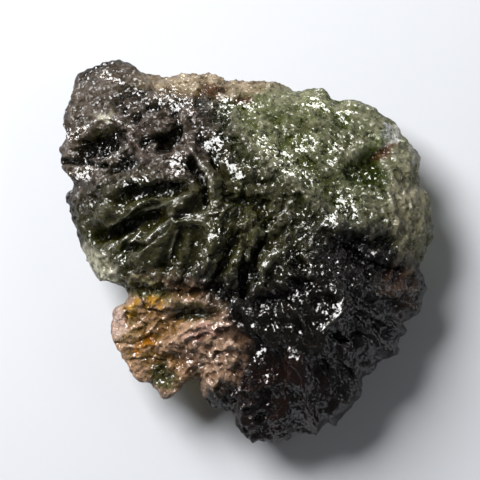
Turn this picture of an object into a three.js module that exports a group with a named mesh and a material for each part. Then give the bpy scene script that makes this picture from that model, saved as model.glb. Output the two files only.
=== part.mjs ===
// A moldavite: one piece of natural green glass, etched in the ground into pits, troughs and ridges.
// It lies face up on a small flat spot on its back. Millimetres, +Z up. The origin is under the
// middle of its box, on the surface that it rests on.
import * as THREE from "three";
import { ImprovedNoise } from "three/addons/math/ImprovedNoise.js";

// Driving dimensions

const EDGE_HEIGHT = 3.0; // the edge line, above the resting surface
const FACE_RISE = 4.5; // the face's bulge above the edge line
const BACK_DROP = 3.3; // the back's bulge below it: past EDGE_HEIGHT it is worn flat
const LEAST_THICKNESS = 0.8; // between face and back, inside the edge
const EDGE_WAVE = 0.45; // the edge line's rise and fall
const EDGE_WAVE_SPACING = 4;
const EDGE_CHIPS = 0.16; // the fine chipping of the edge line, sideways
const EDGE_CHIP_SPACING = 0.62;
const RINGS = 26; // rings of triangles from the middle to the edge
const SECTORS = 6; // of each ring, with as many corners in each as the ring's number
const ROUND_RADIUS = 12.4; // of the circle that the inner rings follow

// How each side curves down to the edge line, and how near the edge its relief starts to fade out,
// all as shares of the way from the middle to the edge.
const FACE_CURVE = { power: 3, fall: 0.7, fade: 0.25 };
const BACK_CURVE = { power: 2.6, fall: 0.75, fade: 0.33 };

// The edge line from above, anticlockwise from the top of the left side, one list for each stretch.

const LEFT_SIDE = [
  [-13.2, 12.1], [-13.4, 11.3], [-13.8, 10.5], [-13.7, 8.2], [-14.0, 7.5], [-13.9, 6.9], [-14.0, 6.2],
  [-13.1, 5.4], [-12.9, 4.5], [-13.5, 4.0], [-13.2, 3.3], [-13.1, 2.7], [-12.6, 0.9], [-12.1, -0.5],
  [-11.2, -1.8],
];
const LEFT_NOTCH = [[-10.3, -2.3], [-9.0, -2.6], [-8.7, -3.3], [-9.0, -4.0]];
const LOBE = [
  [-10.1, -4.5], [-10.0, -5.0], [-10.1, -6.1], [-9.7, -7.5], [-9.0, -8.4], [-8.2, -9.7], [-7.4, -10.0],
  [-6.9, -10.5], [-6.0, -11.2], [-5.4, -11.0], [-4.7, -10.1], [-3.7, -9.5], [-3.2, -10.5], [-3.2, -11.2],
];
const BOTTOM_END = [
  [-2.7, -11.3], [-2.1, -11.8], [-1.2, -12.1], [-0.8, -12.7], [-0.6, -13.5], [0.0, -14.1], [0.8, -14.4],
  [1.8, -14.2], [2.8, -14.0], [3.3, -13.5], [4.2, -13.8], [5.6, -13.3],
];
const LOWER_RIGHT = [
  [7.2, -12.7], [7.6, -11.9], [8.3, -11.0], [8.2, -10.3], [8.9, -9.4], [9.6, -8.9], [9.8, -8.3],
  [10.6, -8.0], [11.3, -7.1], [11.7, -6.1],
];
const RIGHT_SIDE = [
  [11.5, -5.3], [12.1, -5.3], [12.7, -4.9], [13.2, -3.6], [13.5, -2.6], [13.0, -1.7], [12.9, -0.9],
  [13.5, -0.1], [13.5, 0.4], [13.9, 0.7], [14.0, 2.1], [13.8, 3.2], [13.9, 3.8], [13.8, 4.4], [13.4, 4.4],
  [12.9, 5.4], [13.1, 6.3],
];
const UPPER_RIGHT = [
  [12.9, 7.4], [12.3, 8.0], [11.5, 9.3], [11.0, 9.9], [10.2, 10.2], [9.2, 11.0], [8.5, 11.3], [7.6, 11.2],
  [6.8, 11.2],
];
const TOP_END = [
  [5.9, 12.0], [4.9, 12.2], [4.4, 12.1], [3.9, 11.8], [3.2, 12.1], [2.3, 12.5], [0.6, 12.7], [-0.3, 12.6],
  [-1.8, 12.8], [-2.5, 13.2], [-2.9, 13.1], [-4.1, 13.3], [-5.4, 13.1], [-6.1, 12.9], [-6.8, 13.2],
];
const TOP_LEFT_KNOB = [
  [-7.9, 13.4], [-8.8, 14.2], [-9.6, 14.4], [-11.1, 14.2], [-11.8, 13.8], [-12.9, 13.3],
];
const EDGE_LINE = [
  ...LEFT_SIDE, ...LEFT_NOTCH, ...LOBE, ...BOTTOM_END, ...LOWER_RIGHT,
  ...RIGHT_SIDE, ...UPPER_RIGHT, ...TOP_END, ...TOP_LEFT_KNOB,
];

// Broad swells of the face: a thick heart and lower right, a thin upper right, a thin lobe.

const SWELLS = [
  { name: "heart", at: [-3.5, 3.5], reach: 4.5, rise: 0.9 },
  { name: "lower right", at: [4.5, -5.5], reach: 4.5, rise: 0.8 },
  { name: "bottom", at: [2.5, -10.5], reach: 2.6, rise: 0.5 },
  { name: "upper right", at: [7.5, 7.5], reach: 4.5, rise: -1.1 },
  { name: "top left", at: [-10.5, 11.0], reach: 3.0, rise: 0.3 },
  { name: "lobe", at: [-6.6, -7.2], reach: 3.6, rise: -2.5 },
];

// Troughs and pits etched into the face, each along a line.

const FACE_GOUGES = [
  { name: "great trough", line: [[-10.9, 1.0], [-8.7, 1.8], [-6.6, 2.5]], width: 2.3, depth: 1.5 },
  { name: "lower trough", line: [[-9.0, 0.0], [-7.2, 1.2], [-5.9, 2.3]], width: 1.5, depth: 0.9 },
  { name: "middle trough", line: [[-9.4, 3.5], [-8.1, 3.5], [-6.3, 3.1]], width: 1.5, depth: 0.8 },
  { name: "long trough", line: [[-8.5, 4.2], [-6.5, 4.4], [-5.1, 4.3]], width: 1.5, depth: 1.0 },
  { name: "eye hollow", line: [[-4.6, 4.7], [-3.7, 4.7]], width: 1.6, depth: 0.8 },
  { name: "spine trough", line: [[-3.7, 6.2], [-3.0, 4.8], [-2.9, 3.4]], width: 1.4, depth: 0.8 },
  { name: "cup", line: [[-4.2, 3.4], [-3.0, 3.7]], width: 1.4, depth: 0.7 },
  { name: "slit", line: [[-4.8, 2.6], [-2.9, 2.9]], width: 1.2, depth: 0.8 },
  { name: "left pit", line: [[-12.1, 7.3], [-9.6, 7.9]], width: 2.6, depth: 1.3 },
  {
    name: "left slot",
    line: [[-13.9, 6.6], [-12.4, 6.5], [-10.3, 6.2], [-8.9, 6.8]],
    width: 1.2,
    depth: 0.7,
  },
  { name: "upper ledge", line: [[-14.3, 10.4], [-11.1, 10.6]], width: 1.2, depth: 0.6 },
  { name: "lower ledge", line: [[-14.3, 9.1], [-11.2, 9.8]], width: 1.2, depth: 0.7 },
  { name: "black pit", line: [[-6.2, 8.0], [-5.0, 8.5]], width: 2.2, depth: 1.3 },
  { name: "pit link", line: [[-8.3, 7.4], [-7.2, 7.6]], width: 1.3, depth: 0.6 },
  { name: "first comb", line: [[-5.9, -1.2], [-5.1, 0.1], [-4.5, 1.6]], width: 1.4, depth: 0.7 },
  { name: "second comb", line: [[-4.4, -1.7], [-3.9, 0.0], [-3.6, 1.3]], width: 1.4, depth: 0.7 },
  { name: "dark hollow", line: [[-2.3, -2.1], [-1.7, -0.6], [-0.9, 0.7]], width: 1.9, depth: 0.9 },
  {
    name: "black slit",
    line: [[-0.3, -3.3], [0.2, -1.5], [0.6, 0.0], [1.3, 0.7]],
    width: 1.3,
    depth: 1.0,
  },
  {
    name: "swirl valley",
    line: [[0.9, -3.8], [3.2, -3.3], [4.3, -2.3], [4.0, -0.6]],
    width: 1.8,
    depth: 0.8,
  },
  { name: "upper hollow", line: [[-2.4, 6.7], [-1.8, 5.3], [-1.5, 4.0]], width: 1.4, depth: 0.6 },
  { name: "brow hollow", line: [[-0.9, 5.2], [1.2, 4.7]], width: 1.4, depth: 0.6 },
  { name: "middle hollow", line: [[-0.6, 3.5], [1.2, 3.1], [1.6, 1.9]], width: 2.0, depth: 0.8 },
  { name: "rim pit", line: [[6.7, 9.7], [7.7, 10.1]], width: 1.8, depth: 0.6 },
  { name: "flake scar", line: [[9.1, 6.8], [10.3, 7.7], [12.0, 9.5]], width: 1.6, depth: 1.0 },
  { name: "green hollow", line: [[7.7, 5.9], [9.5, 5.5]], width: 2.4, depth: 0.6 },
  { name: "top notch", line: [[-5.4, 13.3], [-5.3, 11.6]], width: 1.2, depth: 0.7 },
  { name: "rust pit", line: [[-3.2, 11.8], [-2.1, 11.9]], width: 1.4, depth: 0.5 },
  { name: "dark band", line: [[6.8, 0.3], [8.9, 0.7], [10.4, 0.6]], width: 1.7, depth: 0.7 },
  { name: "second band", line: [[7.7, -0.5], [10.3, -1.4], [11.9, -2.0]], width: 1.7, depth: 0.8 },
  { name: "brown hollow", line: [[11.0, -3.9], [12.6, -4.1]], width: 2.0, depth: 0.8 },
  { name: "facet pit", line: [[6.4, -6.3], [7.4, -6.3]], width: 1.7, depth: 0.7 },
  { name: "lower dark", line: [[5.3, -8.4], [6.8, -9.1], [6.7, -10.6]], width: 2.2, depth: 0.8 },
  { name: "bottom dark", line: [[1.6, -10.8], [1.2, -13.4]], width: 2.4, depth: 0.9 },
  { name: "bottom flute", line: [[6.2, -11.2], [5.4, -12.9]], width: 2.0, depth: 0.7 },
  { name: "slot", line: [[-0.3, -6.6], [0.9, -6.6]], width: 1.4, depth: 0.6 },
  {
    name: "neck",
    line: [[-8.7, -2.9], [-5.9, -3.0], [-3.5, -3.0], [-1.4, -3.2]],
    width: 1.8,
    depth: 0.9,
  },
  { name: "lobe pit", line: [[-4.7, -4.7], [-2.3, -4.7]], width: 1.7, depth: 0.8 },
  { name: "lobe hollow", line: [[-5.3, -7.9], [-6.2, -10.0]], width: 1.9, depth: 0.4 },
];

// Ridges left standing between them, each with a sharp crest along its line.

const FACE_CRESTS = [
  {
    name: "spine",
    line: [[-4.5, 9.9], [-4.4, 8.5], [-4.3, 7.5], [-3.6, 6.8], [-2.6, 5.1], [-2.3, 4.4], [-2.6, 3.0]],
    width: 1.6,
    height: 0.8,
  },
  {
    name: "long blade",
    line: [[-7.7, 0.3], [-6.4, 1.5], [-5.4, 2.6], [-3.6, 4.4]],
    width: 1.6,
    height: 0.8,
  },
  { name: "second blade", line: [[-10.0, -0.3], [-8.6, 1.2], [-7.6, 1.8]], width: 1.4, height: 0.6 },
  { name: "third blade", line: [[-10.2, 1.8], [-8.7, 2.5], [-7.8, 3.4]], width: 1.6, height: 0.7 },
  { name: "fourth blade", line: [[-11.1, 2.5], [-10.3, 3.2], [-9.5, 4.1]], width: 1.8, height: 0.6 },
  {
    name: "pit brow",
    line: [[-13.7, 8.5], [-11.3, 9.4], [-10.3, 9.7], [-8.3, 8.8]],
    width: 1.6,
    height: 0.6,
  },
  {
    name: "left bar",
    line: [[-13.0, 5.6], [-11.3, 6.0], [-10.0, 6.8], [-8.8, 7.7]],
    width: 1.6,
    height: 0.6,
  },
  {
    name: "comb crest",
    line: [[-3.0, -1.5], [-2.2, 0.1], [-2.4, 1.0], [-2.6, 1.8]],
    width: 1.6,
    height: 0.7,
  },
  { name: "hook", line: [[0.0, -0.7], [0.3, 0.3], [0.7, 1.0], [2.2, 1.7]], width: 1.5, height: 0.8 },
  { name: "inner hook", line: [[1.3, -1.5], [1.7, -0.7], [2.8, 0.0]], width: 1.5, height: 0.7 },
  { name: "swirl crest", line: [[4.1, -0.2], [4.4, -1.0], [4.5, -2.0]], width: 1.5, height: 0.5 },
  {
    name: "facet crest",
    line: [[5.5, -5.9], [7.2, -4.4], [7.3, -3.6], [6.5, -2.9]],
    width: 2.0,
    height: 0.7,
  },
  { name: "rim crest", line: [[9.2, -2.9], [10.1, -3.5]], width: 1.6, height: 0.5 },
  {
    name: "band crest",
    line: [[-0.9, 8.9], [3.2, 5.6], [4.9, 3.5], [7.0, 1.8], [9.2, 1.0]],
    width: 2.6,
    height: 0.6,
  },
  { name: "knob brow", line: [[-11.1, 13.0], [-9.6, 12.2]], width: 2.0, height: 0.4 },
  { name: "top bar", line: [[-6.6, 11.5], [-5.1, 10.9], [-2.4, 8.8]], width: 2.0, height: 0.5 },
  {
    name: "lobe ridge",
    line: [[-5.9, -7.1], [-4.2, -5.7], [-3.2, -5.3], [-1.5, -5.1]],
    width: 1.6,
    height: 0.7,
  },
  { name: "lobe foot", line: [[-7.9, -7.7], [-6.5, -7.3], [-2.4, -6.6]], width: 1.8, height: 0.4 },
];

// Flutes in the back, running in from the edge all round, no two alike.

const BACK_FLUTES = 13;
const FLUTE_START = 6.4; // from the middle
const FLUTE_END = 13.5;
const FLUTE_TURN = 0.45; // how far one swings round on its way out at most, in radians
const FLUTE_WIDTH = 2.4;
const FLUTE_DEPTH = 0.9;

// How much the flutes differ: in bearing, as a share of the usual gap, in start, in width and in depth.
const BEARING_SPREAD = 0.35;
const START_SPREAD = 2.2;
const WIDTH_SPREAD = 0.35;
const DEPTH_SPREAD = 0.3;
const HALFWAY_TURN = 0.7; // the share of its swing that a flute has made at half its length

// The all-over etching: rounded lumps with narrow grooves between them.

const LUMP_SPACING = 2.4;
const LUMP_HEIGHT = 0.3;
const GROOVE_SPACING = 1.25;
const GROOVE_DEPTH = 0.32;
const GROOVE_SHARPNESS = 2.5;

// Layers of the noise, far enough apart that no two patterns look alike.
const FACE_LAYER = 2.5;
const EDGE_LAYER = 11.5;
const BACK_LAYER = 20.5;
const CHIP_LAYER = 31.5;
const GROOVE_LAYER = 5.5; // above the layer of the side's lumps

const GLASS = new THREE.MeshStandardMaterial({ color: 0x3a3d24, roughness: 0.22, metalness: 0 });

const noise = new ImprovedNoise();

// A stroke's line as straight pieces, ready to measure from.
function laidOut(stroke) {
  const points = stroke.line.map(([x, y]) => new THREE.Vector3(x, y, 0));
  const pieces = points.slice(1).map((end, i) => new THREE.Line3(points[i], end));
  return { ...stroke, pieces };
}

// How far (x, y) is from a stroke's line, as a share of its half width: 0 on it, 1 at its border
// and past it.
function shareFrom(stroke, x, y) {
  const place = new THREE.Vector3(x, y, 0);
  const foot = new THREE.Vector3();
  const distance = (piece) => piece.closestPointToPoint(place, true, foot).distanceTo(place);
  return Math.min(1, (2 * Math.min(...stroke.pieces.map(distance))) / stroke.width);
}

// A trough has a round floor and soft borders.
const troughDepth = (stroke, x, y) => stroke.depth * (1 - shareFrom(stroke, x, y) ** 2) ** 2;

// A ridge has concave flanks that meet in a sharp crest.
const ridgeHeight = (stroke, x, y) => stroke.height * (1 - shareFrom(stroke, x, y)) ** 2;

function swellRise({ at, reach, rise }, x, y) {
  const away = Math.hypot(x - at[0], y - at[1]) / reach;
  return rise * Math.exp(-away * away);
}

const total = (list, amount) => list.reduce((sum, item) => sum + amount(item), 0);

// Lumps and grooves all over a side. The grooves run where their noise passes through zero.
function etching(x, y, layer) {
  const lumps = noise.noise(x / LUMP_SPACING, y / LUMP_SPACING, layer);
  const clear = Math.abs(noise.noise(x / GROOVE_SPACING, y / GROOVE_SPACING, layer + GROOVE_LAYER));
  return LUMP_HEIGHT * lumps - GROOVE_DEPTH * (1 - Math.min(1, GROOVE_SHARPNESS * clear)) ** 2;
}

const taper = (curve, share) => (1 - share ** curve.power) ** curve.fall;

const fade = (curve, share) => Math.min(1, (1 - share) / curve.fade);

function flute(number) {
  const angle = ((number + BEARING_SPREAD * Math.sin(5 * number)) / BACK_FLUTES) * 2 * Math.PI;
  const point = (radius, turn) => [radius * Math.cos(angle + turn), radius * Math.sin(angle + turn)];
  const turn = FLUTE_TURN * Math.sin(7 * number);
  const start = FLUTE_START + START_SPREAD * Math.abs(Math.sin(2.3 * number));
  const middle = (start + FLUTE_END) / 2;
  return laidOut({
    line: [point(start, 0), point(middle, HALFWAY_TURN * turn), point(FLUTE_END, turn)],
    width: FLUTE_WIDTH * (1 + WIDTH_SPREAD * Math.sin(3 * number)),
    depth: FLUTE_DEPTH * (1 + DEPTH_SPREAD * Math.sin(4 * number)),
  });
}

const gouges = FACE_GOUGES.map(laidOut);
const crests = FACE_CRESTS.map(laidOut);
const flutes = Array.from({ length: BACK_FLUTES }, (_, number) => flute(number));

// Heights above the resting surface. The ring's share runs from 0 in the middle to 1 at the edge.

function edgeHeight(x, y) {
  return EDGE_HEIGHT + EDGE_WAVE * noise.noise(x / EDGE_WAVE_SPACING, y / EDGE_WAVE_SPACING, EDGE_LAYER);
}

function backHeight(x, y, share) {
  const relief = etching(x, y, BACK_LAYER) + total(flutes, (stroke) => troughDepth(stroke, x, y));
  const height = edgeHeight(x, y) - BACK_DROP * taper(BACK_CURVE, share) + relief * fade(BACK_CURVE, share);
  return Math.max(0, height);
}

function faceHeight(x, y, share) {
  const bulge = FACE_RISE + total(SWELLS, (swell) => swellRise(swell, x, y));
  const standing = total(crests, (stroke) => ridgeHeight(stroke, x, y));
  const cut = total(gouges, (stroke) => troughDepth(stroke, x, y));
  const relief = standing - cut + etching(x, y, FACE_LAYER);
  const height = edgeHeight(x, y) + bulge * taper(FACE_CURVE, share) + relief * fade(FACE_CURVE, share);
  return Math.max(height, backHeight(x, y, share) + LEAST_THICKNESS);
}

// The stone: a face and a back of nested rings, joined along the edge line.

function stoneGeometry() {
  const edgePoints = EDGE_LINE.map(([x, y]) => new THREE.Vector3(x, y, 0));
  const edge = new THREE.CatmullRomCurve3(edgePoints, true, "centripetal");
  edge.arcLengthDivisions = 3000;
  const edgeStart = Math.atan2(edgePoints[0].y, edgePoints[0].x);

  const positions = [];
  const faces = [];
  const corner = (x, y, z) => positions.push(x, y, z) / 3 - 1;

  // A ring is round near the middle and takes on the edge line's form towards the edge.
  function ringCorner(ring, step, heightAt) {
    const share = ring / RINGS;
    const turn = step / (SECTORS * ring);
    const angle = edgeStart + turn * 2 * Math.PI;
    const round = new THREE.Vector3(ROUND_RADIUS * Math.cos(angle), ROUND_RADIUS * Math.sin(angle), 0);
    const place = round.lerp(edge.getPointAt(turn), share ** 2).multiplyScalar(share);
    const chip = noise.noise(place.x / EDGE_CHIP_SPACING, place.y / EDGE_CHIP_SPACING, CHIP_LAYER);
    place.setLength(place.length() + share ** 4 * EDGE_CHIPS * chip);
    return corner(place.x, place.y, heightAt(place.x, place.y, share));
  }

  function side(heightAt, rimRing) {
    const rings = [[corner(0, 0, heightAt(0, 0, 0))]];
    for (let ring = 1; ring < RINGS; ring++) {
      rings.push(Array.from({ length: SECTORS * ring }, (_, step) => ringCorner(ring, step, heightAt)));
    }
    return [...rings, rimRing];
  }

  function joinRings(rings, facesUp) {
    const add = (a, b, c) => faces.push(...(facesUp ? [a, b, c] : [a, c, b]));
    for (let ring = 1; ring <= RINGS; ring++) {
      const outer = (i) => rings[ring][i % (SECTORS * ring)];
      const inner = (i) => rings[ring - 1][i % Math.max(1, SECTORS * (ring - 1))];
      for (let sector = 0; sector < SECTORS; sector++) {
        for (let i = 0; i < ring; i++) {
          const out = sector * ring + i;
          const inn = sector * (ring - 1) + i;
          add(inner(inn), outer(out), outer(out + 1));
          if (i < ring - 1) add(inner(inn), outer(out + 1), inner(inn + 1));
        }
      }
    }
  }

  const rim = Array.from({ length: SECTORS * RINGS }, (_, step) => ringCorner(RINGS, step, edgeHeight));
  joinRings(side(faceHeight, rim), true);
  joinRings(side(backHeight, rim), false);

  const geometry = new THREE.BufferGeometry();
  geometry.setAttribute("position", new THREE.Float32BufferAttribute(positions, 3));
  geometry.setIndex(faces);
  geometry.computeBoundingBox();
  const middle = geometry.boundingBox.getCenter(new THREE.Vector3());
  geometry.translate(-middle.x, -middle.y, -geometry.boundingBox.min.z);
  geometry.computeVertexNormals();
  return geometry;
}

const stone = new THREE.Mesh(stoneGeometry(), GLASS);
stone.name = "moldavite";

const part = new THREE.Group();
part.add(stone);

export default part;
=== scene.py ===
# %% [markdown]
# # A moldavite, face up
# Moldavite is natural green glass. Acids in the ground have etched this piece into pits, troughs and sharp
# ridges, and its thin edges let light through. It formed as one piece, so it is one mesh here too.
# The solid in the frame has the true outline and the large forms already. This lesson copies it, etches the
# copy more finely, gives it a glass that darkens with depth, and lights it from the upper left.

# %% Load the frame
import math

import bpy
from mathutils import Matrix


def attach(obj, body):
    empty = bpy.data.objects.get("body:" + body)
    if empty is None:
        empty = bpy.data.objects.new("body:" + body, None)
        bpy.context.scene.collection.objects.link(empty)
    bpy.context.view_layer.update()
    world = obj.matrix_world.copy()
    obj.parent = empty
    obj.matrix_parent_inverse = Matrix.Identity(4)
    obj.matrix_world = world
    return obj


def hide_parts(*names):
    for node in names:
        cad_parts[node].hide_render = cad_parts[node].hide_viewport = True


MM = 0.001

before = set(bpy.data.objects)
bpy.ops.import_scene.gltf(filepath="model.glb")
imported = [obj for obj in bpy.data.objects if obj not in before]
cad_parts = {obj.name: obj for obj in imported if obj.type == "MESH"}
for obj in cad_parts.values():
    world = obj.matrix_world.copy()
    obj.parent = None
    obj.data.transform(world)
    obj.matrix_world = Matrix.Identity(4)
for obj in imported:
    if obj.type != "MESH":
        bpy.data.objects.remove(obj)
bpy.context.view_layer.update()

# %% [markdown]
# ## A finer copy of the solid
# The solid has about eight thousand flat triangles, which would show as facets. It must stay as it is, so
# the work goes into a copy. The copy's triangles arrive loose, so they are merged first, and a Subdivision
# Surface then gives the mesh enough points to hold creases a few tenths of a millimetre wide. Dynamic
# topology in sculpt mode would do it too, but only by hand.

# %% Copy, merge and subdivide
FINER_LEVELS = 3
MERGE_DISTANCE = 0.001 * MM

stone = bpy.data.objects.new("stone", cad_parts["moldavite"].data.copy())
bpy.context.collection.objects.link(stone)
bpy.ops.object.select_all(action="DESELECT")
stone.select_set(True)
bpy.context.view_layer.objects.active = stone
bpy.ops.mesh.customdata_custom_splitnormals_clear()
bpy.ops.object.mode_set(mode="EDIT")
bpy.ops.mesh.select_all(action="SELECT")
bpy.ops.mesh.remove_doubles(threshold=MERGE_DISTANCE)
bpy.ops.object.mode_set(mode="OBJECT")

finer = stone.modifiers.new("finer faces", "SUBSURF")
finer.levels = FINER_LEVELS
finer.render_levels = FINER_LEVELS
bpy.ops.object.modifier_apply(modifier=finer.name)
print("stone:", len(stone.data.vertices), "points,", len(stone.data.polygons), "faces")

# %% [markdown]
# ## One helper for every node
# The etching and the stains are Geometry Nodes trees, and the glass is a shader tree. All are made of nodes
# that have settings and take values or links, so one small function adds any of them and hands on one of its
# outputs.

# %% Add a node


def add_node(tree, kind, inputs=None, output=0, **settings):
    """Adds a node. Settings are its properties; inputs gives each socket a value or another node's output."""
    node = tree.nodes.new(kind)
    for name, value in settings.items():
        setattr(node, name, value)
    for socket, value in (inputs or {}).items():
        if isinstance(value, bpy.types.NodeSocket):
            tree.links.new(value, node.inputs[socket])
        else:
            node.inputs[socket].default_value = value
    return node.outputs[output] if node.outputs else None


# %% [markdown]
# A Geometry Nodes tree needs a socket at each end. Applying its modifier leaves plain mesh data behind.

# %% Start and apply a tree


def start_tree(name):
    """A new Geometry Nodes tree, and the mesh that comes into it."""
    tree = bpy.data.node_groups.new(name, "GeometryNodeTree")
    tree.interface.new_socket("Geometry", in_out="INPUT", socket_type="NodeSocketGeometry")
    tree.interface.new_socket("Geometry", in_out="OUTPUT", socket_type="NodeSocketGeometry")
    return tree, add_node(tree, "NodeGroupInput")


def apply_tree(tree, geometry, kept):
    """Keeps the named values on the mesh's points, ends the tree and applies it to the stone."""
    for name, (data_type, value) in kept.items():
        sockets = {"Geometry": geometry, "Name": name, "Value": value}
        geometry = add_node(
            tree, "GeometryNodeStoreNamedAttribute", sockets, data_type=data_type, domain="POINT"
        )
    add_node(tree, "NodeGroupOutput", {0: geometry})
    modifier = stone.modifiers.new(tree.name, "NODES")
    modifier.node_group = tree
    bpy.ops.object.modifier_apply(modifier=modifier.name)


# %% [markdown]
# Both trees need to know where on the face a point is. Positions are turned into millimetres first. A noise
# pushes them about, so that nothing comes out regular. A soft oval marks a part of the face: the place is
# moved to the oval's centre, turned and divided by the oval's half sizes, and its length is then 1 on the rim.

# %% Places on the face
OVAL_SOFTNESS = 0.35


def place_in_mm(tree):
    """The place of each point, in mm."""
    position = add_node(tree, "GeometryNodeInputPosition")
    return add_node(tree, "ShaderNodeVectorMath", {0: position, "Scale": 1 / MM}, operation="SCALE")


def push_about(tree, place, spacing, reach):
    """Places pushed about by a noise: its spacing and its farthest reach in mm."""
    sockets = {"Vector": place, "Scale": 1 / spacing, "Detail": 2.0}
    noise = add_node(tree, "ShaderNodeTexNoise", sockets, output="Color")
    centred = add_node(tree, "ShaderNodeVectorMath", {0: noise, 1: (0.5, 0.5, 0.5)}, operation="SUBTRACT")
    push = add_node(tree, "ShaderNodeVectorMath", {0: centred, "Scale": 2 * reach}, operation="SCALE")
    return add_node(tree, "ShaderNodeVectorMath", {0: place, 1: push}, operation="ADD")


def oval(tree, place, at, size, turn=0):
    """1 inside a soft oval seen from above and 0 outside: centre and half sizes in mm, turn in degrees."""
    moved = add_node(tree, "ShaderNodeVectorMath", {0: place, 1: (*at, 0)}, operation="SUBTRACT")
    angle = math.radians(-turn)
    turned = add_node(tree, "ShaderNodeVectorRotate", {0: moved, "Angle": angle}, rotation_type="Z_AXIS")
    shares = (1 / size[0], 1 / size[1], 0)
    flat = add_node(tree, "ShaderNodeVectorMath", {0: turned, 1: shares}, operation="MULTIPLY")
    away = add_node(tree, "ShaderNodeVectorMath", {0: flat}, output="Value", operation="LENGTH")
    limits = {"Value": away, "From Min": 1 + OVAL_SOFTNESS, "From Max": 1 - OVAL_SOFTNESS}
    return add_node(tree, "ShaderNodeMapRange", limits, interpolation_type="SMOOTHSTEP")


# %% [markdown]
# ## The sharp lines
# The eye goes first to a few bright crests, such as the spine that curls down the middle, and to the black
# slits beside them. They run where they please, so they are drawn as guide lines from above, and the etching
# measures how far each point of the stone is from the nearest one.

# %% Guide lines, in mm
SHARP_CRESTS = [
    [(-4.5, 9.7), (-4.4, 8.5), (-4.2, 7.6), (-3.5, 6.5), (-2.7, 5.2), (-2.4, 4.1), (-2.5, 3.1)],
    [(-5.7, 2.6), (-4.2, 2.5), (-2.7, 2.6), (-1.8, 2.8)],
    [(-7.2, 0.9), (-6.5, 1.5), (-5.6, 2.2)],
    [(-9.1, 0.6), (-8.2, 1.5), (-7.4, 2.1)],
    [(-7.4, 2.9), (-5.9, 3.3), (-5.0, 3.7), (-4.1, 3.9)],
    [(-9.4, -0.6), (-8.6, 0.4), (-7.8, 1.3)],
    [(-5.7, -0.6), (-5.4, 0.4), (-5.0, 1.3)],
    [(-2.9, -2.1), (-2.4, -0.9), (-1.8, 0.0), (-2.4, 1.5)],
    [(-10.2, 1.8), (-9.4, 2.1), (-8.7, 2.5), (-7.8, 3.4)],
    [(-12.9, 8.6), (-12.4, 8.8), (-11.3, 9.4), (-10.3, 9.7), (-9.3, 9.4), (-8.3, 8.8)],
    [(-13.0, 5.6), (-11.3, 6.0), (-10.0, 6.8), (-8.8, 7.7)],
    [(0.0, -0.8), (0.3, 0.2), (0.8, 1.1), (1.9, 1.5)],
    [(1.2, -2.3), (1.0, -1.3), (1.8, -0.4), (2.9, 0.2)],
    [(4.5, -2.1), (4.7, -1.2), (4.1, -0.2)],
    [(5.5, -5.8), (6.4, -5.0), (6.8, -4.5), (6.9, -3.6)],
    [(-5.7, -6.9), (-4.6, -6.0), (-3.7, -5.3)],
    [(-4.6, -6.4), (-2.4, -5.6), (-1.2, -5.4)],
]
BLACK_SLITS = [
    [(-10.9, 1.0), (-8.7, 1.8), (-6.6, 2.5)],
    [(-9.0, 0.0), (-7.2, 0.5), (-5.9, 1.7)],
    [(-3.9, 6.0), (-3.0, 4.6), (-2.9, 3.4)],
    [(-13.9, 6.6), (-12.4, 6.5), (-10.3, 6.2)],
    [(-0.3, -3.3), (-0.3, -1.5), (0.0, 0.4)],
    [(0.6, -2.0), (0.6, -0.6), (1.1, 0.5)],
]
THIN_GROOVES = [
    [(-9.0, -2.4), (-7.9, -2.8), (-5.0, -3.0), (-2.7, -2.8), (-0.9, -3.0)],
    [(-9.1, -3.5), (-8.9, -4.7), (-8.2, -5.0), (-7.4, -5.6), (-7.6, -6.3)],
    [(-7.9, -3.2), (-7.4, -4.4), (-6.2, -4.6)],
    [(-9.6, -6.9), (-8.4, -7.0), (-6.9, -6.2)],
    [(-8.7, -8.2), (-7.2, -8.0), (-5.9, -8.2)],
]


def guide_lines(name, lines):
    """A mesh of edges only, flat on the ground, for the etching to measure from."""
    points = []
    edges = []
    for line in lines:
        start = len(points)
        points += [(x * MM, y * MM, 0) for x, y in line]
        edges += [(i, i + 1) for i in range(start, len(points) - 1)]
    mesh = bpy.data.meshes.new(name)
    mesh.from_pydata(points, edges, [])
    guide = bpy.data.objects.new(name, mesh)
    bpy.context.collection.objects.link(guide)
    return guide


crest_guide = guide_lines("crest guide", SHARP_CRESTS)
slit_guide = guide_lines("slit guide", BLACK_SLITS)
groove_guide = guide_lines("groove guide", THIN_GROOVES)
print("guides:", len(SHARP_CRESTS), "crests,", len(BLACK_SLITS), "slits,", len(THIN_GROOVES), "grooves")

# %% [markdown]
# ## The etching
# Etched glass is scalloped: shallow cups meet in sharp rims. A Voronoi texture gives just that, because its
# distance rises from each cell's centre and breaks sharply at the cell's border. The cups are long and
# slanting on the left, small and round on the green upper right, and broad on the dark lower right. The back
# keeps the large cups and little of the small ones, so that most of the mesh's points go to the face.

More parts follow.
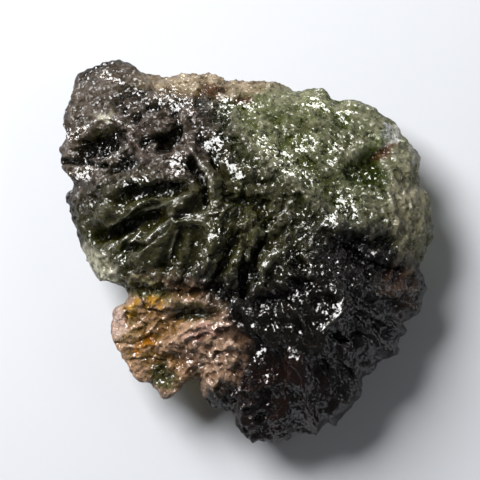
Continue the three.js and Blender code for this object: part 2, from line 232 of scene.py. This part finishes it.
# %% Cups for each part of the face
# Each part: its oval on the face, the direction of its cups in degrees or the centre that they point to, two
# sizes of cups as (length, width, depth) in mm, how strongly its skin glitters and how worn its crests are.
FACE_PARTS = [
    {
        "at": (0, 0), "size": (90, 90), "turn": 60,
        "cups": [(1.6, 0.75, 0.26), (0.6, 0.36, 0.12)], "skin": (0.8, 0.6),
    },
    {
        "at": (-9, 8), "size": (6, 5), "turn": 25,
        "cups": [(2.2, 0.8, 0.24), (0.8, 0.42, 0.10)], "skin": (1.0, 1.0),
    },
    {
        "at": (-10.5, 12), "size": (4, 2.5), "turn": 35,
        "cups": [(1.6, 0.9, 0.12), (0.7, 0.3, 0.05)], "skin": (0.9, 1.0),
    },
    {
        "at": (-7.5, 1.5), "size": (5, 3), "turn": 40,
        "cups": [(3.0, 0.8, 0.10), (0.9, 0.5, 0.03)], "skin": (0.5, 0.4),
    },
    {
        "at": (8, 8), "size": (8, 6), "turn": -40,
        "cups": [(1.6, 1.1, 0.18), (0.7, 0.5, 0.06)], "skin": (1.0, 0.7),
    },
    {
        "at": (12, 3.5), "size": (2, 3.5), "turn": -70,
        "cups": [(1.8, 0.55, 0.20), (0.7, 0.3, 0.06)], "skin": (0.7, 0.6),
    },
    {
        "at": (5, -6), "size": (6, 5), "turn": -55,
        "cups": [(2.6, 0.9, 0.26), (1.0, 0.45, 0.08)], "skin": (0.6, 0.15),
    },
    {
        "at": (9, -9), "size": (8, 5), "oval_turn": 40, "centre": (1, 0),
        "cups": [(3.4, 1.05, 0.5), (1.4, 0.5, 0.08)], "skin": (0.35, 0.1),
    },
    {
        "at": (-7, -6.8), "size": (4, 4), "turn": 35,
        "cups": [(1.8, 0.7, 0.2), (0.7, 0.4, 0.07)], "skin": (0.9, 0.3),
    },
]
RIM_RADIUS = 12.0
WARP_SPACING = 1.6
WARP_REACH = 0.55
CUP_CURVE = 1.6
FACE_FACING = 0.4
BACK_SHARE = 0.3

etching, stone_in = start_tree("etching")
place = place_in_mm(etching)
warped = push_about(etching, place, WARP_SPACING, WARP_REACH)
normal = add_node(etching, "GeometryNodeInputNormal")
facing = add_node(etching, "ShaderNodeSeparateXYZ", {0: normal}, output="Z")
on_face = add_node(etching, "ShaderNodeMapRange", {"Value": facing, "From Max": FACE_FACING})
limits = {"Value": facing, "From Max": FACE_FACING, "To Min": BACK_SHARE}
fine_share = add_node(etching, "ShaderNodeMapRange", limits)
height = 0.0
glitter = 0.0
wear = 0.0
for part in FACE_PARTS:
    if "centre" in part:
        sockets = {0: warped, 1: (*part["centre"], 0)}
        outwards = add_node(etching, "ShaderNodeVectorMath", sockets, operation="SUBTRACT")
        flat = add_node(etching, "ShaderNodeVectorMath", {0: outwards, 1: (1, 1, 0)}, operation="MULTIPLY")
        radius = add_node(etching, "ShaderNodeVectorMath", {0: flat}, output="Value", operation="LENGTH")
        x = add_node(etching, "ShaderNodeSeparateXYZ", {0: flat}, output="X")
        bearing = add_node(etching, "ShaderNodeMath", {0: x.node.outputs["Y"], 1: x}, operation="ARCTAN2")
        along_rim = add_node(etching, "ShaderNodeMath", {0: bearing, 1: RIM_RADIUS}, operation="MULTIPLY")
        turned = add_node(etching, "ShaderNodeCombineXYZ", {0: radius, 1: along_rim})
    else:
        sockets = {0: warped, "Angle": math.radians(-part["turn"])}
        turned = add_node(etching, "ShaderNodeVectorRotate", sockets, rotation_type="Z_AXIS")
    bowls = []
    for length, width, depth in part["cups"]:
        shares = (1 / length, 1 / width, 1 / width)
        cells = add_node(etching, "ShaderNodeVectorMath", {0: turned, 1: shares}, operation="MULTIPLY")
        away = add_node(etching, "ShaderNodeTexVoronoi", {"Vector": cells, "Scale": 1.0}, output="Distance")
        bowl = add_node(etching, "ShaderNodeMath", {0: away, 1: CUP_CURVE}, operation="POWER")
        bowls.append(add_node(etching, "ShaderNodeMath", {0: bowl, 1: 2 * depth}, operation="MULTIPLY"))
    both = {0: bowls[1], 1: fine_share, 2: bowls[0]}
    part_height = add_node(etching, "ShaderNodeMath", both, operation="MULTIPLY_ADD")
    share = oval(etching, place, part["at"], part["size"], part.get("oval_turn", 0))
    height = add_node(etching, "ShaderNodeMix", {0: share, 2: height, 3: part_height})
    glitter = add_node(etching, "ShaderNodeMix", {0: share, 2: glitter, 3: part["skin"][0]})
    wear = add_node(etching, "ShaderNodeMix", {0: share, 2: wear, 3: part["skin"][1]})
print("parts of the face:", len(FACE_PARTS))

# %% [markdown]
# The crests, slits, grooves and a few deep pits come on top, with a fine grit over everything. Geometry
# Proximity gives the distance to the guide lines, and the pits are ovals torn by a noise.

# %% Crests, slits, grooves, pits and grit
CREST_HALF_WIDTH = 0.22
CREST_HEIGHT = 0.16
EDGE_HALF_WIDTH = 0.13
EDGE_CURVE = 0.8
SLIT_HALF_WIDTH = 0.4
SLIT_DEPTH = 0.6
GROOVE_HALF_WIDTH = 0.16
GROOVE_DEPTH = 0.15
LINE_CURVE = 1.5
TORN_SPACING = 0.7
TORN_REACH = 0.5
# Each pit: its centre and half sizes in mm, its turn in degrees and its depth in mm.
DEEP_PITS = [
    ((-11.0, 7.5), (1.6, 0.8), 12, 0.35),
    ((-5.7, 8.1), (1.0, 0.35), 10, 0.4),
    ((-6.7, 4.3), (2.2, 0.5), 4, 0.45),
    ((-8.8, 6.1), (1.1, 0.4), 20, 0.4),
    ((-9.5, 1.3), (1.8, 0.45), 15, 0.4),
    ((6.8, -6.4), (0.6, 0.5), 0, 0.25),
]
LINE_WANDER = 0.15
GRIT_SPACING = 0.3
GRIT_HEIGHT = 0.06

wandered = push_about(etching, place, WARP_SPACING, LINE_WANDER)
from_above = add_node(etching, "ShaderNodeVectorMath", {0: wandered, 1: (MM, MM, 0)}, operation="MULTIPLY")


def line_share(guide, half_width, curve):
    """1 on the guide's lines, falling to 0 at half_width away from them, and 0 on the stone's back."""
    lines = add_node(etching, "GeometryNodeObjectInfo", {"Object": guide}, output="Geometry")
    sockets = {0: lines, "Sample Position": from_above}
    away = add_node(etching, "GeometryNodeProximity", sockets, output="Distance", target_element="EDGES")
    limits = {"Value": away, "From Min": half_width * MM, "From Max": 0.0}
    near = add_node(etching, "ShaderNodeMapRange", limits)
    curved = add_node(etching, "ShaderNodeMath", {0: near, 1: curve}, operation="POWER")
    return add_node(etching, "ShaderNodeMath", {0: curved, 1: on_face}, operation="MULTIPLY")


crests = line_share(crest_guide, CREST_HALF_WIDTH, LINE_CURVE)
# The crests' thin edges are kept too. The glass gets a pale painted highlight along them.
edges = line_share(crest_guide, EDGE_HALF_WIDTH, EDGE_CURVE)
slits = line_share(slit_guide, SLIT_HALF_WIDTH, LINE_CURVE)
grooves = line_share(groove_guide, GROOVE_HALF_WIDTH, LINE_CURVE)
# Slits, grooves and pits make one mask. The glass is later painted near black there as shade.
dark = add_node(etching, "ShaderNodeMath", {0: slits, 1: grooves}, operation="MAXIMUM")
torn = push_about(etching, place, TORN_SPACING, TORN_REACH)
for at, size, turn, pit_depth in DEEP_PITS:
    hole = oval(etching, torn, at, size, turn)
    pit = add_node(etching, "ShaderNodeMath", {0: hole, 1: on_face}, operation="MULTIPLY")
    height = add_node(etching, "ShaderNodeMath", {0: pit, 1: -pit_depth, 2: height}, operation="MULTIPLY_ADD")
    dark = add_node(etching, "ShaderNodeMath", {0: dark, 1: pit}, operation="MAXIMUM")
grit = add_node(etching, "ShaderNodeTexNoise", {"Vector": place, "Scale": 1 / GRIT_SPACING, "Detail": 2.0})
gritty = add_node(etching, "ShaderNodeMath", {0: grit, 1: fine_share}, operation="MULTIPLY")
layers = [(crests, CREST_HEIGHT), (slits, -SLIT_DEPTH), (grooves, -GROOVE_DEPTH), (gritty, 2 * GRIT_HEIGHT)]
for layer, layer_height in layers:
    height = add_node(etching, "ShaderNodeMath", {0: layer, 1: layer_height, 2: height}, operation="MULTIPLY_ADD")

# %% [markdown]
# The flat spot that the stone rests on is worn, so the etching fades out towards the ground. Each point then
# moves along its normal. How far a point stands out from its surroundings is kept on the mesh, because wear
# and colour follow it: hollows mostly get darker colours, partly as painted shade. Blur Attribute gives the
# height of the surroundings.

# %% Move the points
WORN_HEIGHT = 0.9
FLAT_SPOT_HEIGHT = 0.02
COMMON_HEIGHT = 0.2
BLUR_STEPS = 200

above = add_node(etching, "ShaderNodeSeparateXYZ", {0: place}, output="Z")
limits = {"Value": above, "From Min": FLAT_SPOT_HEIGHT, "From Max": WORN_HEIGHT}
unworn = add_node(etching, "ShaderNodeMapRange", limits, interpolation_type="SMOOTHSTEP")
lowered = add_node(etching, "ShaderNodeMath", {0: height, 1: COMMON_HEIGHT}, operation="SUBTRACT")
amount = add_node(etching, "ShaderNodeMath", {0: lowered, 1: unworn}, operation="MULTIPLY")
in_metres = add_node(etching, "ShaderNodeMath", {0: amount, 1: MM}, operation="MULTIPLY")
offset = add_node(etching, "ShaderNodeVectorMath", {0: normal, "Scale": in_metres}, operation="SCALE")
etched = add_node(etching, "GeometryNodeSetPosition", {"Geometry": stone_in, "Offset": offset})

sockets = {"Value": above, "Iterations": BLUR_STEPS}
around = add_node(etching, "GeometryNodeBlurAttribute", sockets, data_type="FLOAT")
raised = add_node(etching, "ShaderNodeMath", {0: above, 1: around}, operation="SUBTRACT")
side = add_node(etching, "ShaderNodeMath", {0: facing}, operation="SIGN")
stands_out = add_node(etching, "ShaderNodeMath", {0: raised, 1: side}, operation="MULTIPLY")
kept = {"stands_out": stands_out, "glitter": glitter, "wear": wear, "edge": edges, "dark": dark}
apply_tree(etching, etched, {name: ("FLOAT", value) for name, value in kept.items()})
for guide in (crest_guide, slit_guide, groove_guide):
    bpy.data.objects.remove(guide)
print("etched:", len(stone.data.vertices), "points")

# %% [markdown]
# ## Fewer faces where the stone is smooth
# The subdivision made the faces equally small everywhere. Decimate joins them where the surface is nearly
# flat and leaves the creases sharp.

# %% Thin the mesh out
MOST_TRIANGLES = 195000

thinner = stone.modifiers.new("fewer faces", "DECIMATE")
thinner.ratio = MOST_TRIANGLES / (2 * len(stone.data.polygons))
bpy.ops.object.modifier_apply(modifier=thinner.name)
bpy.ops.object.shade_smooth()
print("thinned to", len(stone.data.polygons), "faces")

# %% [markdown]
# ## Stains, painted shade and glow, and glitter bands
# The ground has left a brown skin on the high parts, clay in some hollows and rust at the edge. The hollow
# colours are darker partly as painted shade. The pale edges, the light green side and the light lobe are
# painted glow of light shining through thin glass. Each tint is an oval with one colour for its high parts and
# one for its hollows. They are worked out once for every point of the mesh, which is much quicker than working
# them out for every ray of light.

# %% Colours


def linear(hex_colour):
    """An sRGB hex colour as the linear colour that shaders use."""
    channels = [int(hex_colour[i : i + 2], 16) / 255 for i in (1, 3, 5)]
    return (*[c / 12.92 if c <= 0.04045 else ((c + 0.055) / 1.055) ** 2.4 for c in channels], 1.0)


# Each tint: its high and low colours, and its oval on the face in mm and degrees.
TINTS = [
    {"name": "dark glass", "high": "#241f19", "low": "#090603", "at": (0, 0), "size": (90, 90)},
    {"name": "brown base", "high": "#301a12", "low": "#1c0a05", "at": (2.5, -11), "size": (4, 3.5)},
    {"name": "middle", "high": "#524f2e", "low": "#2e2c0e", "at": (0, 3), "size": (5.5, 5)},
    {"name": "olive middle", "high": "#5c5a32", "low": "#39360e", "at": (-1.2, 2.4), "size": (3, 3.5)},
    {"name": "brown skin", "high": "#655446", "low": "#17120a", "at": (-9, 9), "size": (7, 6)},
    {"name": "olive grooves", "high": "#545130", "low": "#302e0a", "at": (-7.5, 1.5), "size": (5, 4)},
    # The green side, yellow green and clear green are painted glow of light through thin glass, on the glass's
    # own green.
    {"name": "green side", "high": "#a8a684", "low": "#545a24", "at": (7, 8), "size": (9, 5), "turn": -30},
    {
        "name": "yellow green", "high": "#a8a880", "low": "#646a30",
        "at": (2.5, 9.5), "size": (4, 2.6), "turn": -35,
    },
    {"name": "clear green", "high": "#646c34", "low": "#3a4410", "at": (8.4, 5.4), "size": (2.0, 1.1)},
    # The pale right edge is painted glow of light through thin glass.
    {"name": "right edge", "high": "#c0b898", "low": "#948c6a", "at": (12.4, 3.0), "size": (1.8, 4)},
    {
        "name": "brown hollow", "high": "#5e4634", "low": "#2c1710",
        "at": (11.3, -3), "size": (1.3, 2.0), "turn": 10,
    },
    # The light lobe and inner lobe are painted glow of light through thin glass.
    {"name": "lobe", "high": "#f2c29c", "low": "#b8884c", "at": (-6.5, -6.8), "size": (4.5, 4.2)},
    {
        "name": "inner lobe", "high": "#f4c8a6", "low": "#a87c5e",
        "at": (-2.6, -7.6), "size": (2.2, 2.6), "turn": -30,
    },
    {"name": "olive window", "high": "#716a3c", "low": "#4c461e", "at": (-6.1, -9.5), "size": (1.0, 0.9)},
    {
        "name": "olive neck", "high": "#a59c64", "low": "#6c642c",
        "at": (-7.4, -3.0), "size": (2.2, 0.8), "turn": -15,
    },
    {"name": "olive hollow", "high": "#6a5c34", "low": "#33300f", "at": (-4.0, -4.5), "size": (2.0, 0.6)},
    # The pale top and left edges are painted glow of light through thin glass.
    {"name": "top edge", "high": "#cdb493", "low": "#8c7050", "at": (-2.5, 12.6), "size": (5, 1.3)},
    {
        "name": "left edge", "high": "#f4eed2", "low": "#a49e76",
        "at": (-10.9, -1.2), "size": (1.7, 0.9), "turn": -40,
    },
    {"name": "amber", "high": "#f2b43a", "low": "#d89418", "at": (-8.4, -4.4), "size": (0.6, 0.55)},
    {
        "name": "amber", "high": "#f2b43a", "low": "#d89418",
        "at": (-6.8, -3.8), "size": (0.6, 0.5), "turn": 30,
    },
    {
        "name": "amber", "high": "#e89a28", "low": "#c87818",
        "at": (-7.4, -7.0), "size": (0.9, 0.4), "turn": 45,
    },
    {"name": "pale clay", "high": "#ffdccc", "low": "#ecb8a4", "at": (-9.5, -5.4), "size": (0.6, 1.1)},
    # The pink slope is painted glow of pink light shining through the thin lobe.
    {
        "name": "pink slope", "high": "#f0bca4", "low": "#b07860",
        "at": (-3.1, -5.9), "size": (1.6, 0.6), "turn": 15,
    },
    {"name": "rust", "high": "#7a5230", "low": "#4f3018", "at": (-2.6, 11.8), "size": (0.9, 0.6)},
    {"name": "rust", "high": "#7a5230", "low": "#4f3018", "at": (-0.4, 11.1), "size": (0.7, 0.4)},
    {
        "name": "rust", "high": "#8a6444", "low": "#4f3218",
        "at": (10.1, 7.2), "size": (1.1, 0.45), "turn": 40,
    },
    {
        "name": "green leaf", "high": "#a3aa74", "low": "#7d8650",
        "at": (9.5, 7.8), "size": (0.9, 0.4), "turn": 55,
    },
    {
        "name": "white clay", "high": "#ffffff", "low": "#fff4e8",
        "at": (11.0, 8.7), "size": (1.1, 0.6), "turn": 45,
    },
    {
        "name": "white clay", "high": "#f6f0e8", "low": "#dccbbb",
        "at": (12.6, 6.9), "size": (0.3, 0.7), "turn": 25,
    },
    {"name": "white clay", "high": "#efe6cf", "low": "#cfc3a4", "at": (-10.6, 9.7), "size": (0.6, 0.35)},
]

# %% [markdown]
# In some bands the skin's small scales nearly all lean towards the light and flash together. Their ovals are
# kept on the mesh as well.

# %% Lay tints and bands on the points
RAGGED_SPACING = 0.9
RAGGED_REACH = 1.0
BANDS = [
    {"at": (2.6, 6.8), "size": (3.4, 0.9), "turn": -38},
    {"at": (4.3, 7.6), "size": (1.0, 0.8), "turn": 0},
    {"at": (6.5, 7.2), "size": (0.6, 1.2), "turn": 0},
    {"at": (7.4, 3.2), "size": (0.8, 1.4), "turn": 25},
    {"at": (5.3, 11.0), "size": (1.4, 0.9), "turn": -30},
    {"at": (7.3, 10.1), "size": (0.7, 0.8), "turn": 0},
    {"at": (0.2, 10.4), "size": (1.0, 0.6), "turn": -30},
    {"at": (6.3, 2.2), "size": (0.6, 0.8), "turn": 0},
    {"at": (-5.3, 11.0), "size": (1.7, 0.8), "turn": -25},
    {"at": (-10.0, 12.8), "size": (1.0, 0.5), "turn": -15},
    {"at": (-2.3, 7.9), "size": (0.8, 0.9), "turn": 0},
    {"at": (-0.9, 6.2), "size": (1.2, 0.8), "turn": -30},
    {"at": (-1.4, 10.7), "size": (1.0, 0.8), "turn": 0},
    {"at": (-12.8, 8.6), "size": (1.0, 0.5), "turn": 20},
    {"at": (-12.1, 5.7), "size": (1.2, 0.6), "turn": 15},
    {"at": (-8.3, 4.9), "size": (1.2, 0.5), "turn": 20},
    {"at": (-5.0, 6.4), "size": (0.8, 0.8), "turn": 0},
    {"at": (-2.3, 1.2), "size": (0.8, 0.7), "turn": 0},
    {"at": (1.0, -7.5), "size": (0.3, 0.6), "turn": 0},
    {"at": (1.5, -9.5), "size": (0.4, 0.5), "turn": 0},
    {"at": (6.6, -4.3), "size": (0.9, 0.35), "turn": 45},
    {"at": (3.0, -0.5), "size": (0.8, 0.5), "turn": 20},
    {"at": (9.5, -3.1), "size": (0.8, 0.4), "turn": -55},
    {"at": (3.4, -7.4), "size": (0.6, 0.4), "turn": -40},
    {"at": (9.6, -0.3), "size": (0.6, 0.4), "turn": -20},
    {"at": (-2.6, -8.0), "size": (1.2, 0.7), "turn": 30},
    {"at": (-4.3, -7.8), "size": (0.6, 0.4), "turn": 20},
    {"at": (-2.0, -5.6), "size": (0.9, 0.35), "turn": 15},
]

stains_and_painted_light, stone_in = start_tree("stains_and_painted_light")
ragged = push_about(stains_and_painted_light, place_in_mm(stains_and_painted_light), RAGGED_SPACING, RAGGED_REACH)
high_tint = linear(TINTS[0]["high"])
low_tint = linear(TINTS[0]["low"])
for tint in TINTS:
    share = oval(stains_and_painted_light, ragged, tint["at"], tint["size"], tint.get("turn", 0))
    high_pair = {0: share, 6: high_tint, 7: linear(tint["high"])}
    low_pair = {0: share, 6: low_tint, 7: linear(tint["low"])}
    high_tint = add_node(stains_and_painted_light, "ShaderNodeMix", high_pair, output=2, data_type="RGBA")
    low_tint = add_node(stains_and_painted_light, "ShaderNodeMix", low_pair, output=2, data_type="RGBA")
band = 0.0
for place_of_band in BANDS:
    share = oval(stains_and_painted_light, ragged, **place_of_band)
    band = add_node(stains_and_painted_light, "ShaderNodeMath", {0: share, 1: band}, operation="MAXIMUM")
kept = {
    "high_tint": ("FLOAT_COLOR", high_tint),
    "low_tint": ("FLOAT_COLOR", low_tint),
    "band": ("FLOAT", band),
}
apply_tree(stains_and_painted_light, stone_in, kept)
print("stained:", len(TINTS), "tints and", len(BANDS), "bands")

# %% [markdown]
# ## The glass
# Moldavite is a silica glass with an index of refraction of about 1.49. It is bottle green and swallows
# light, so a thick part looks black and only thin edges glow. Transmission, IOR and absorption are plain
# values on the shader, and only the tint, the roughness and the finest relief come from patterns.

# %% The tint of every spot
MOTTLE_SPACING = 0.5
MOTTLE_SHARE = 0.25
HOLLOW = 0.02
CREST = 0.26
# Slits, grooves and pits are painted near black as shade.
LINE_TINTS = [("dark", "#060503", 0.7), ("edge", "#c4c4b6", 0.2)]

glass = bpy.data.materials.new("moldavite glass")
glass.use_nodes = True
shader = glass.node_tree
shader.nodes.clear()
object_place = add_node(shader, "ShaderNodeTexCoord", output="Object")
spot = add_node(shader, "ShaderNodeVectorMath", {0: object_place, "Scale": 1 / MM}, operation="SCALE")
mottle = add_node(shader, "ShaderNodeTexNoise", {"Vector": spot, "Scale": 1 / MOTTLE_SPACING, "Detail": 3.0})
relief = add_node(shader, "ShaderNodeAttribute", output="Fac", attribute_name="stands_out")
mottled = add_node(shader, "ShaderNodeMath", {0: mottle, 1: MOTTLE_SHARE, 2: relief}, operation="MULTIPLY_ADD")
# Hollows take the low tint and crests the high one. The darker low tints are partly painted shade.
high = add_node(shader, "ShaderNodeMapRange", {"Value": mottled, "From Min": HOLLOW, "From Max": CREST})
of_hollows = add_node(shader, "ShaderNodeAttribute", output="Color", attribute_name="low_tint")
of_crests = add_node(shader, "ShaderNodeAttribute", output="Color", attribute_name="high_tint")
pair = {0: high, 6: of_hollows, 7: of_crests}
colour = add_node(shader, "ShaderNodeMix", pair, output=2, data_type="RGBA")
# The pale edge tint is a painted highlight along the sharp crests.
for name, line_colour, strength in LINE_TINTS:
    line = add_node(shader, "ShaderNodeAttribute", output="Fac", attribute_name=name)
    share = add_node(shader, "ShaderNodeMath", {0: line, 1: strength}, operation="MULTIPLY")
    pair = {0: share, 6: colour, 7: linear(line_colour)}
    colour = add_node(shader, "ShaderNodeMix", pair, output=2, data_type="RGBA")

# %% [markdown]
# Seen closely, the etched skin is made of small flat scales, and each one flashes when it happens to turn
# the light to the eye. Every Voronoi cell is such a scale: its random colour tilts it, and the height at a
# place is the distance from the cell's middle times that tilt. The scales go into a Bump node, because they
# are finer than the mesh. Most scales of a band, and the edges of the sharp crests, mix their normals with one
# that leans to the light.

# %% Glittering scales
# Each kind of scales: length and width in mm, steepness and direction in degrees.
SCALES = [(0.42, 0.24, 0.55, 35), (0.24, 0.16, 0.40, -50)]
LEANING = (-0.31, 0.34, 0.89)
LEAN_SHARE = 0.75
DARK_SCALES = 0.3
CHANCE_SOFTNESS = 0.1

scaly = 0.0
for length, width, steep, turn in SCALES:
    angle = math.radians(-turn)
    turned = add_node(shader, "ShaderNodeVectorRotate", {0: spot, "Angle": angle}, rotation_type="Z_AXIS")
    sizes = (length, width, width)
    shares = [1 / size for size in sizes]
    cells = add_node(shader, "ShaderNodeVectorMath", {0: turned, 1: shares}, operation="MULTIPLY")
    cell_colour = add_node(shader, "ShaderNodeTexVoronoi", {"Vector": cells, "Scale": 1.0}, output="Color")
    middle = cell_colour.node.outputs["Position"]
    from_middle = add_node(shader, "ShaderNodeVectorMath", {0: cells, 1: middle}, operation="SUBTRACT")
    sockets = {0: cell_colour, 1: [2 * steep * size for size in sizes], 2: [-steep * size for size in sizes]}
    tilt = add_node(shader, "ShaderNodeVectorMath", sockets, operation="MULTIPLY_ADD")
    sockets = {0: from_middle, 1: tilt}
    scale_height = add_node(shader, "ShaderNodeVectorMath", sockets, output="Value", operation="DOT_PRODUCT")
    scaly = add_node(shader, "ShaderNodeMath", {0: scale_height, 1: scaly}, operation="ADD")
    chance = add_node(shader, "ShaderNodeSeparateXYZ", {0: cell_colour}, output="X")
glitter_share = add_node(shader, "ShaderNodeAttribute", output="Fac", attribute_name="glitter")
bump_height = add_node(shader, "ShaderNodeMath", {0: scaly, 1: glitter_share}, operation="MULTIPLY")
bump = add_node(shader, "ShaderNodeBump", {"Height": bump_height, "Distance": MM, "Strength": 1.0})
in_band = add_node(shader, "ShaderNodeAttribute", output="Fac", attribute_name="band")
on_edge = add_node(shader, "ShaderNodeAttribute", output="Fac", attribute_name="edge")
limits = {"Value": chance, "From Min": DARK_SCALES, "From Max": DARK_SCALES + CHANCE_SOFTNESS}
turned_up = add_node(shader, "ShaderNodeMapRange", limits)
some = add_node(shader, "ShaderNodeMath", {0: in_band, 1: turned_up}, operation="MULTIPLY")
flashing = add_node(shader, "ShaderNodeMath", {0: some, 1: on_edge}, operation="MAXIMUM")
lean = add_node(shader, "ShaderNodeMath", {0: flashing, 1: LEAN_SHARE}, operation="MULTIPLY")
pair = {0: lean, 4: bump, 5: LEANING}
leaned = add_node(shader, "ShaderNodeMix", pair, output=1, data_type="VECTOR")
facing_way = add_node(shader, "ShaderNodeVectorMath", {0: leaned}, operation="NORMALIZE")
print("kinds of scales:", len(SCALES))

# %% [markdown]
# Worn crests are duller than hollows, most of all on the brown skin. Scales that flash stay glossy.

# %% The surface and the depth
GLOSSY = 0.15
DULL = 0.42
REFRACTION = 1.49
CLEAR_SHARE = 0.7
DEPTH_COLOUR = (0.45, 0.6, 0.1, 1.0)
DEPTH_DENSITY = 600.0

worn = add_node(shader, "ShaderNodeAttribute", output="Fac", attribute_name="wear")
crest_wear = add_node(shader, "ShaderNodeMath", {0: high, 1: worn}, operation="MULTIPLY")
plain = add_node(shader, "ShaderNodeMath", {0: 1.0, 1: flashing}, operation="SUBTRACT")
worn_here = add_node(shader, "ShaderNodeMath", {0: crest_wear, 1: plain}, operation="MULTIPLY")
dullness = add_node(shader, "ShaderNodeMapRange", {"Value": worn_here, "To Min": GLOSSY, "To Max": DULL})
surface = add_node(
    shader,
    "ShaderNodeBsdfPrincipled",
    {
        "Base Color": colour,
        "Roughness": dullness,
        "Normal": facing_way,
        "IOR": REFRACTION,
        "Transmission Weight": CLEAR_SHARE,
    },
)
depth = add_node(shader, "ShaderNodeVolumeAbsorption", {"Color": DEPTH_COLOUR, "Density": DEPTH_DENSITY})
add_node(shader, "ShaderNodeOutputMaterial", {"Surface": surface, "Volume": depth})
stone.data.materials.clear()
stone.data.materials.append(glass)

# %% [markdown]
# ## The stage
# A pale floor, a window at the upper left that makes the glints, and a dim lamp at the right that
# lifts the shadow. The room is dark overhead, so that the black glass has something dark to mirror. The
# camera looks straight down.

# %% Floor and light
FLOOR_SIDE = 1.2
WALL_LIGHT = 0.18
WALL_TOP = 0.2
CEILING_START = 0.85
PAPER_ROUGHNESS = 0.9
CEILING_LIGHT = 0.06
# Each lamp: its name, the direction to it, its distance and side in metres, and its power.
LAMPS = [
    ("window", (-0.55, 0.60, 0.58), 0.25, 0.14, 1.64),
    ("dim lamp", (0.80, 0.20, 0.56), 0.30, 0.12, 0.10),
]

bpy.ops.mesh.primitive_plane_add(size=FLOOR_SIDE, location=(0, 0, 0))
floor = bpy.context.object
floor.name = "floor"
paper = bpy.data.materials.new("pale paper")
paper.use_nodes = True
paper.node_tree.nodes["Principled BSDF"].inputs["Base Color"].default_value = linear("#c4c6ca")
paper.node_tree.nodes["Principled BSDF"].inputs["Roughness"].default_value = PAPER_ROUGHNESS
floor.data.materials.append(paper)

world = bpy.data.worlds.new("dim room")
world.use_nodes = True
room = world.node_tree
towards = add_node(room, "ShaderNodeTexCoord", output="Generated")
upwards = add_node(room, "ShaderNodeSeparateXYZ", {0: towards}, output="Z")
limits = {"Value": upwards, "From Min": WALL_TOP, "From Max": CEILING_START}
limits |= {"To Min": WALL_LIGHT, "To Max": CEILING_LIGHT}
brightness = add_node(room, "ShaderNodeMapRange", limits)
room.links.new(brightness, room.nodes["Background"].inputs["Strength"])
room.nodes["Background"].inputs["Color"].default_value = linear("#f2f4f8")
bpy.context.scene.world = world

for name, direction, distance, side, power in LAMPS:
    bpy.ops.object.light_add(type="AREA", location=[distance * part for part in direction])
    lamp = bpy.context.object
    lamp.name = name
    lamp.data.size = side
    lamp.data.energy = power
    lamp.rotation_euler = (-lamp.location).to_track_quat("-Z", "Y").to_euler()

# %% Camera
IMAGE_SIDE = 480
PIXELS_PER_MM = 13.4
MIDDLE_PIXEL = (246.5, 249.5)
EDGE_HEIGHT = 3.0
CAMERA_DISTANCE = 160.0
SENSOR = 36.0

view_side = IMAGE_SIDE / PIXELS_PER_MM
camera_x = (IMAGE_SIDE / 2 - MIDDLE_PIXEL[0]) / PIXELS_PER_MM
camera_y = (MIDDLE_PIXEL[1] - IMAGE_SIDE / 2) / PIXELS_PER_MM
bpy.ops.object.camera_add(location=(camera_x * MM, camera_y * MM, (CAMERA_DISTANCE + EDGE_HEIGHT) * MM))
camera = bpy.context.object
camera.rotation_euler = (0, 0, 0)
camera.data.sensor_width = SENSOR
camera.data.lens = SENSOR * CAMERA_DISTANCE / view_side
camera.data.clip_start = MM
bpy.context.scene.camera = camera
bpy.context.scene.view_settings.view_transform = "Standard"

# %% Tie the stone to the frame and finish
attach(stone, "root")
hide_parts("moldavite")
